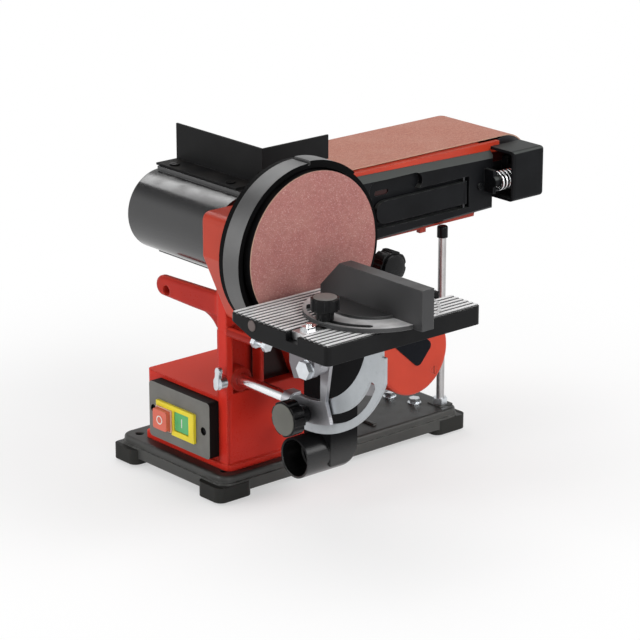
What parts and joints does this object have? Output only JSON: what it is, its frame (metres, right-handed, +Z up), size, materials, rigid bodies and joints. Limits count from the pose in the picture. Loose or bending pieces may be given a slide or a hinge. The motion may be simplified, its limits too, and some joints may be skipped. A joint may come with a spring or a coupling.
{
  "type": "belt and disc sander",
  "caption": "Bench sander with a vertical disc, tilting ribbed table and mitre gauge, and a swinging belt arm on a hollow stand with a motor.",
  "frame": {"origin": "on the bench, under the middle of the base, between the four bench bolts", "axes": "+X along the sanding belt away from the disc, +Y along the spindle away from the disc's face, +Z up"},
  "size_m": [0.4793, 0.404, 0.344],
  "materials": {
    "red_paint": "gloss",
    "black_paint": "gloss",
    "black_plastic": "satin",
    "grey_plastic": "matte",
    "yellow_plastic": "satin",
    "red_plastic": "satin",
    "green_plastic": "satin",
    "zinc": "plated",
    "chrome": "polished",
    "steel": "turned",
    "aluminium": "machined",
    "abrasive": "gritted",
    "rubber": "matte"
  },
  "bodies": {
    "machine": {"base_plate": "black_paint", "base_feet": "rubber", "stand": "red_paint", "stand_bolts": "zinc", "cable_gland": "black_plastic", "switch_panel": "grey_plastic", "switch_screws": "zinc", "switch_frame": "yellow_plastic", "drive_housing": "red_paint", "drive_cover": "red_paint", "housing_screws": "zinc", "label_plate": "black_plastic", "spindle_bearings": "steel", "drive_belt": "rubber", "motor_housing": "aluminium", "motor_end_cap": "black_plastic", "disc_housing": "black_plastic", "dust_hood": "black_plastic", "support_rod": "chrome", "support_cap": "black_plastic", "support_nut": "zinc"},
    "spindle_group": {"spindle": "steel", "spindle_pulley": "aluminium", "disc_plate": "aluminium", "sanding_disc": "abrasive", "drum": "rubber"},
    "rotor": {"motor_shaft": "steel", "motor_pulley": "aluminium"},
    "arm": {"arm_frame": "red_paint", "arm_cover": "black_plastic", "arm_cover_screws": "zinc", "lever_pin": "steel", "tension_spring": "chrome", "end_box": "black_plastic", "sanding_belt": "abrasive", "belt_guard": "black_paint", "work_stop": "black_paint", "stop_screws": "zinc"},
    "lever": {"tension_lever": "black_plastic"},
    "slider": {"idler_slider": "zinc", "idler_axle": "steel"},
    "idler": {"idler_roller": "aluminium"},
    "tracking": {"tracking_knob": "black_plastic"},
    "arm_lock": {"arm_lock_knob": "black_plastic"},
    "table_carrier": {"table_rod": "chrome", "table_bracket": "zinc", "bracket_bolt": "zinc"},
    "table": {"table_frame": "black_paint", "table_top": "aluminium", "quadrant": "zinc", "pivot_bolt": "zinc"},
    "quadrant_lock": {"quadrant_knob": "black_plastic"},
    "rod_lock": {"thumb_screw": "chrome"},
    "gauge_bar": {"mitre_bar": "steel", "mitre_pointer": "chrome"},
    "gauge_head": {"mitre_head": "black_paint", "mitre_fence": "black_paint"},
    "gauge_lock": {"mitre_knob": "black_plastic"},
    "on_switch": {"button_on": "green_plastic"},
    "off_switch": {"button_off": "red_plastic"}
  },
  "joints": [
    {"name": "spindle_spin", "type": "hinge", "parent": "machine", "child": "spindle_group", "pos_m": [-0.106, -0.158, 0.2605], "axis": [0, 1, 0], "continuous": true},
    {"name": "motor_spin", "type": "hinge", "parent": "machine", "child": "rotor", "pos_m": [0.057, -0.058, 0.1145], "axis": [0, 1, 0], "continuous": true},
    {"name": "arm_tilt", "type": "hinge", "parent": "machine", "child": "arm", "pos_m": [-0.106, -0.063, 0.2605], "axis": [0, -1, 0], "range_deg": [0, 90]},
    {"name": "idler_tension", "type": "slide", "parent": "arm", "child": "slider", "axis": [-1, 0, 0], "range_m": [0, 0.008], "deforming": ["tension_spring"]},
    {"name": "tension_lever_turn", "type": "hinge", "parent": "arm", "child": "lever", "pos_m": [0.17, -0.066, 0.246], "axis": [0, 0, 1], "range_deg": [0, 90]},
    {"name": "idler_spin", "type": "hinge", "parent": "slider", "child": "idler", "pos_m": [0.239, -0.008, 0.2605], "axis": [0, 1, 0], "continuous": true},
    {"name": "tracking_turn", "type": "hinge", "parent": "arm", "child": "tracking", "pos_m": [0.255, -0.066, 0.2605], "axis": [1, 0, 0], "range_deg": [-180, 180]},
    {"name": "arm_lock_turn", "type": "hinge", "parent": "machine", "child": "arm_lock", "pos_m": [0.013, -0.118, 0.2145], "axis": [0, 1, 0], "range_deg": [0, 270]},
    {"name": "table_slide", "type": "slide", "parent": "machine", "child": "table_carrier", "axis": [0, -1, 0], "range_m": [0, 0.016]},
    {"name": "table_tilt", "type": "hinge", "parent": "table_carrier", "child": "table", "pos_m": [-0.118, -0.172, 0.1875], "axis": [1, 0, 0], "range_deg": [0, 45]},
    {"name": "quadrant_lock_turn", "type": "hinge", "parent": "table_carrier", "child": "quadrant_lock", "pos_m": [-0.126, -0.16059, 0.1063], "axis": [1, 0, 0], "range_deg": [0, 270]},
    {"name": "rod_lock_turn", "type": "hinge", "parent": "machine", "child": "rod_lock", "pos_m": [-0.146, -0.066, 0.1165], "axis": [1, 0, 0], "range_deg": [0, 270]},
    {"name": "gauge_slide", "type": "slide", "parent": "table", "child": "gauge_bar", "axis": [1, 0, 0], "range_m": [-0.04, 0.09]},
    {"name": "gauge_swivel", "type": "hinge", "parent": "gauge_bar", "child": "gauge_head", "pos_m": [-0.114, -0.246, 0.2305], "axis": [0, 0, 1], "range_deg": [-45, 45]},
    {"name": "gauge_lock_turn", "type": "hinge", "parent": "gauge_bar", "child": "gauge_lock", "pos_m": [-0.169, -0.246, 0.2405], "axis": [0, 0, 1], "range_deg": [0, 270]},
    {"name": "on_press", "type": "slide", "parent": "machine", "child": "on_switch", "axis": [1, 0, 0], "range_m": [0, 0.003], "stiffness_N_per_m": 400, "springref_m": -0.002},
    {"name": "off_press", "type": "slide", "parent": "machine", "child": "off_switch", "axis": [1, 0, 0], "range_m": [0, 0.003], "stiffness_N_per_m": 400, "springref_m": -0.002}
  ],
  "couplings": [
    {"joint": "motor_spin", "follows": "spindle_spin", "ratio": 2},
    {"joint": "idler_spin", "follows": "spindle_spin", "ratio": 1},
    {"joint": "tension_lever_turn", "follows": "idler_tension", "rad_per_m": 196}
  ]
}
